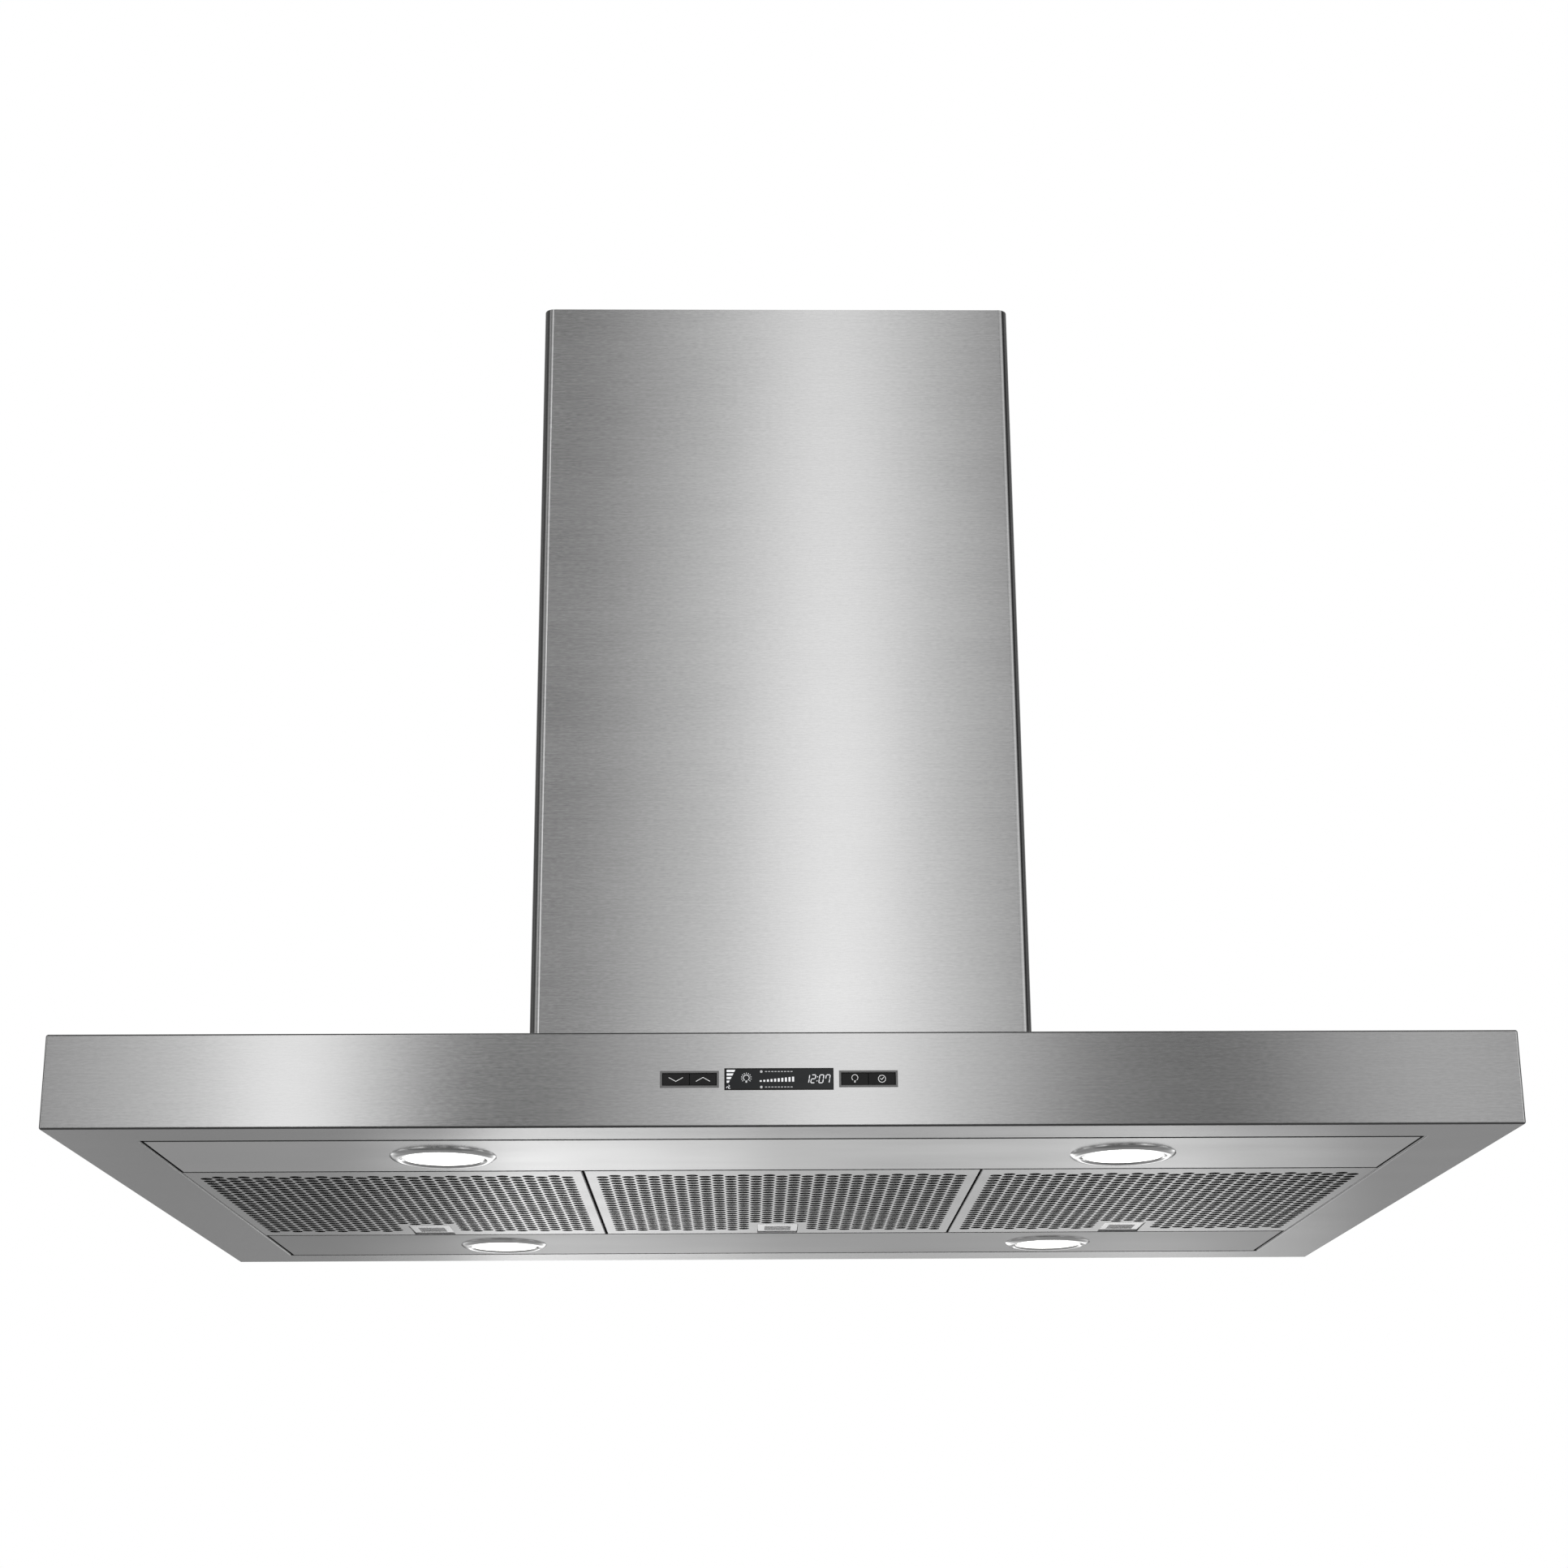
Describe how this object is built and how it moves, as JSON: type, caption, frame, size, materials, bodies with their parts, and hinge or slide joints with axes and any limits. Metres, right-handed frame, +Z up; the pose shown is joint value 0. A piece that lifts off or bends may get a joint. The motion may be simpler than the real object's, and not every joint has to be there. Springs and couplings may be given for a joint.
{
  "type": "island range hood",
  "caption": "Ceiling-hung island range hood: brushed steel chimney over a flat canopy with perforated grease filters, round lamps and a small control panel.",
  "frame": {"origin": "centre of the ceiling plate's top face, in the middle of its four bolt holes", "axes": "+Z up into the ceiling, -Y towards the control panel, +X to the right of a person facing the controls"},
  "size_m": [1.07, 0.7004, 0.7793],
  "materials": {
    "canopy_steel": "brushed along X",
    "chimney_steel": "brushed along X",
    "filter_steel": "satin perforated",
    "filter_mesh": "woven mesh",
    "latch_steel": "satin",
    "galvanised_steel": "galvanised",
    "zinc_fasteners": "zinc plated",
    "motor_paint": "satin black",
    "lamp_trim_chrome": "polished",
    "lamp_lens_glass": "frosted, lit",
    "lamp_module": "white",
    "display_black": "black, gloss",
    "bezel_plastic": "dark grey",
    "key_black": "black",
    "black_plastic": "black",
    "circuit_board": "green",
    "cable_sheath": "grey sheath"
  },
  "bodies": {
    "ceiling_frame": {"ceiling_plate": "galvanised_steel", "upper_upright_front_left": "galvanised_steel", "upper_upright_front_right": "galvanised_steel", "upper_upright_back_left": "galvanised_steel", "upper_upright_back_right": "galvanised_steel", "upper_frame_ties": "galvanised_steel", "upper_cover_front": "chimney_steel", "upper_cover_back": "chimney_steel"},
    "hood": {"lower_upright_front_left": "galvanised_steel", "lower_upright_front_right": "galvanised_steel", "lower_upright_back_left": "galvanised_steel", "lower_upright_back_right": "galvanised_steel", "lower_frame_ties": "galvanised_steel", "frame_bolts": "zinc_fasteners", "lower_cover_front": "chimney_steel", "lower_cover_back": "chimney_steel", "cover_screws": "zinc_fasteners", "canopy_shell": "canopy_steel", "canopy_top": "canopy_steel", "light_panel_front": "canopy_steel", "light_panel_back": "canopy_steel", "latch_keepers": "zinc_fasteners", "panel_clips": "zinc_fasteners", "lamp_trim_front_left": "lamp_trim_chrome", "lamp_trim_front_right": "lamp_trim_chrome", "lamp_trim_back_left": "lamp_trim_chrome", "lamp_trim_back_right": "lamp_trim_chrome", "lamp_lens_front_left": "lamp_lens_glass", "lamp_lens_front_right": "lamp_lens_glass", "lamp_lens_back_left": "lamp_lens_glass", "lamp_lens_back_right": "lamp_lens_glass", "lamp_cans": "galvanised_steel", "lamp_bulbs": "lamp_module", "button_bezels": "bezel_plastic", "display_glass": "display_black", "control_housing": "black_plastic", "control_board": "circuit_board", "blower_box": "galvanised_steel", "blower_scroll": "galvanised_steel", "motor": "motor_paint", "outlet_collar": "black_plastic", "junction_box": "galvanised_steel", "wiring": "cable_sheath"},
    "blower_rotor": {"blower_wheel": "galvanised_steel", "motor_shaft": "zinc_fasteners"},
    "damper_left": {"damper_flap_left": "black_plastic"},
    "damper_right": {"damper_flap_right": "black_plastic"},
    "filter_left": {"filter_face_left": "filter_steel", "filter_mesh_left": "filter_mesh"},
    "latch_left": {"latch_left": "latch_steel"},
    "filter_middle": {"filter_face_middle": "filter_steel", "filter_mesh_middle": "filter_mesh"},
    "latch_middle": {"latch_middle": "latch_steel"},
    "filter_right": {"filter_face_right": "filter_steel", "filter_mesh_right": "filter_mesh"},
    "latch_right": {"latch_right": "latch_steel"},
    "button_speed_down": {"button_speed_down": "key_black"},
    "button_speed_up": {"button_speed_up": "key_black"},
    "button_light": {"button_light": "key_black"},
    "button_timer": {"button_timer": "key_black"}
  },
  "joints": [
    {"name": "height_adjust", "type": "slide", "parent": "ceiling_frame", "child": "hood", "axis": [0, 0, -1], "range_m": [0, 0.4]},
    {"name": "blower_spin", "type": "hinge", "parent": "hood", "child": "blower_rotor", "pos_m": [0, 0, -0.606], "axis": [1, 0, 0], "continuous": true},
    {"name": "damper_left_swing", "type": "hinge", "parent": "hood", "child": "damper_left", "pos_m": [0, 0, -0.458], "axis": [0, 1, 0], "range_deg": [0, 80]},
    {"name": "damper_right_swing", "type": "hinge", "parent": "hood", "child": "damper_right", "pos_m": [0, 0, -0.458], "axis": [0, -1, 0], "range_deg": [0, 80]},
    {"name": "filter_left_swing", "type": "hinge", "parent": "hood", "child": "filter_left", "pos_m": [-0.31667, -0.16725, -0.7739], "axis": [-1, 0, 0], "range_deg": [0, 60]},
    {"name": "filter_middle_swing", "type": "hinge", "parent": "hood", "child": "filter_middle", "pos_m": [0, -0.16725, -0.7739], "axis": [-1, 0, 0], "range_deg": [0, 60]},
    {"name": "filter_right_swing", "type": "hinge", "parent": "hood", "child": "filter_right", "pos_m": [0.31667, -0.16725, -0.7739], "axis": [-1, 0, 0], "range_deg": [0, 60]},
    {"name": "latch_left_slide", "type": "slide", "parent": "filter_left", "child": "latch_left", "axis": [0, -1, 0], "range_m": [0, 0.005], "stiffness_N_per_m": 400, "springref_m": -0.004},
    {"name": "latch_middle_slide", "type": "slide", "parent": "filter_middle", "child": "latch_middle", "axis": [0, -1, 0], "range_m": [0, 0.005], "stiffness_N_per_m": 400, "springref_m": -0.004},
    {"name": "latch_right_slide", "type": "slide", "parent": "filter_right", "child": "latch_right", "axis": [0, -1, 0], "range_m": [0, 0.005], "stiffness_N_per_m": 400, "springref_m": -0.004},
    {"name": "speed_down_press", "type": "slide", "parent": "hood", "child": "button_speed_down", "axis": [0, 1, 0], "range_m": [0, 0.001], "stiffness_N_per_m": 1200, "springref_m": -0.0006},
    {"name": "speed_up_press", "type": "slide", "parent": "hood", "child": "button_speed_up", "axis": [0, 1, 0], "range_m": [0, 0.001], "stiffness_N_per_m": 1200, "springref_m": -0.0006},
    {"name": "light_press", "type": "slide", "parent": "hood", "child": "button_light", "axis": [0, 1, 0], "range_m": [0, 0.001], "stiffness_N_per_m": 1200, "springref_m": -0.0006},
    {"name": "timer_press", "type": "slide", "parent": "hood", "child": "button_timer", "axis": [0, 1, 0], "range_m": [0, 0.001], "stiffness_N_per_m": 1200, "springref_m": -0.0006}
  ]
}
